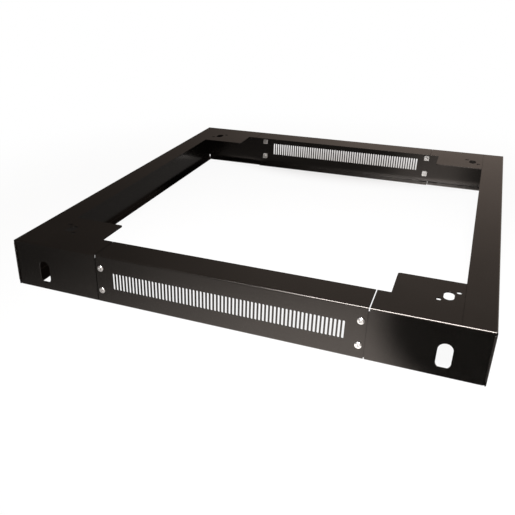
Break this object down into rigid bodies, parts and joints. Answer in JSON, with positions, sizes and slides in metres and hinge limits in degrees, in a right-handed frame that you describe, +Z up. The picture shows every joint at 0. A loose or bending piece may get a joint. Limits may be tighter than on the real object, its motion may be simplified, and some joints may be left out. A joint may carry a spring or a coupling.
{
  "type": "rack cabinet plinth",
  "caption": "Low rectangular plinth of folded black sheet for a rack cabinet: open middle, slotted vent panels front and rear, corner plates with fixing holes, front cable passages.",
  "frame": {"origin": "on the floor, in the middle of the footprint", "axes": "+X to the right along the front face, +Y from the front to the rear, +Z up"},
  "size_m": [0.9, 1.0072, 0.1],
  "materials": {
    "powder_coat": "semi-gloss black powder coat",
    "zinc_plate": "bright zinc plate",
    "spring_steel": "zinc-plated spring steel"
  },
  "bodies": {
    "root": {"side_rail_left": "powder_coat", "side_rail_right": "powder_coat", "corner_front_left": "powder_coat", "corner_front_right": "powder_coat", "corner_rear_left": "powder_coat", "corner_rear_right": "powder_coat", "vent_panel_front": "powder_coat", "vent_panel_rear": "powder_coat", "splice_plate_front_left": "powder_coat", "splice_plate_front_right": "powder_coat", "splice_plate_rear_left": "powder_coat", "splice_plate_rear_right": "powder_coat", "screw_front_left_upper": "zinc_plate", "screw_front_left_lower": "zinc_plate", "screw_front_right_upper": "zinc_plate", "screw_front_right_lower": "zinc_plate", "screw_rear_left_upper": "zinc_plate", "screw_rear_left_lower": "zinc_plate", "screw_rear_right_upper": "zinc_plate", "screw_rear_right_lower": "zinc_plate", "cage_front_left_upper": "spring_steel", "cage_front_left_lower": "spring_steel", "cage_front_right_upper": "spring_steel", "cage_front_right_lower": "spring_steel", "cage_rear_left_upper": "spring_steel", "cage_rear_left_lower": "spring_steel", "cage_rear_right_upper": "spring_steel", "cage_rear_right_lower": "spring_steel", "nut_front_left_upper": "zinc_plate", "nut_front_left_lower": "zinc_plate", "nut_front_right_upper": "zinc_plate", "nut_front_right_lower": "zinc_plate", "nut_rear_left_upper": "zinc_plate", "nut_rear_left_lower": "zinc_plate", "nut_rear_right_upper": "zinc_plate", "nut_rear_right_lower": "zinc_plate"}
  },
  "joints": []
}
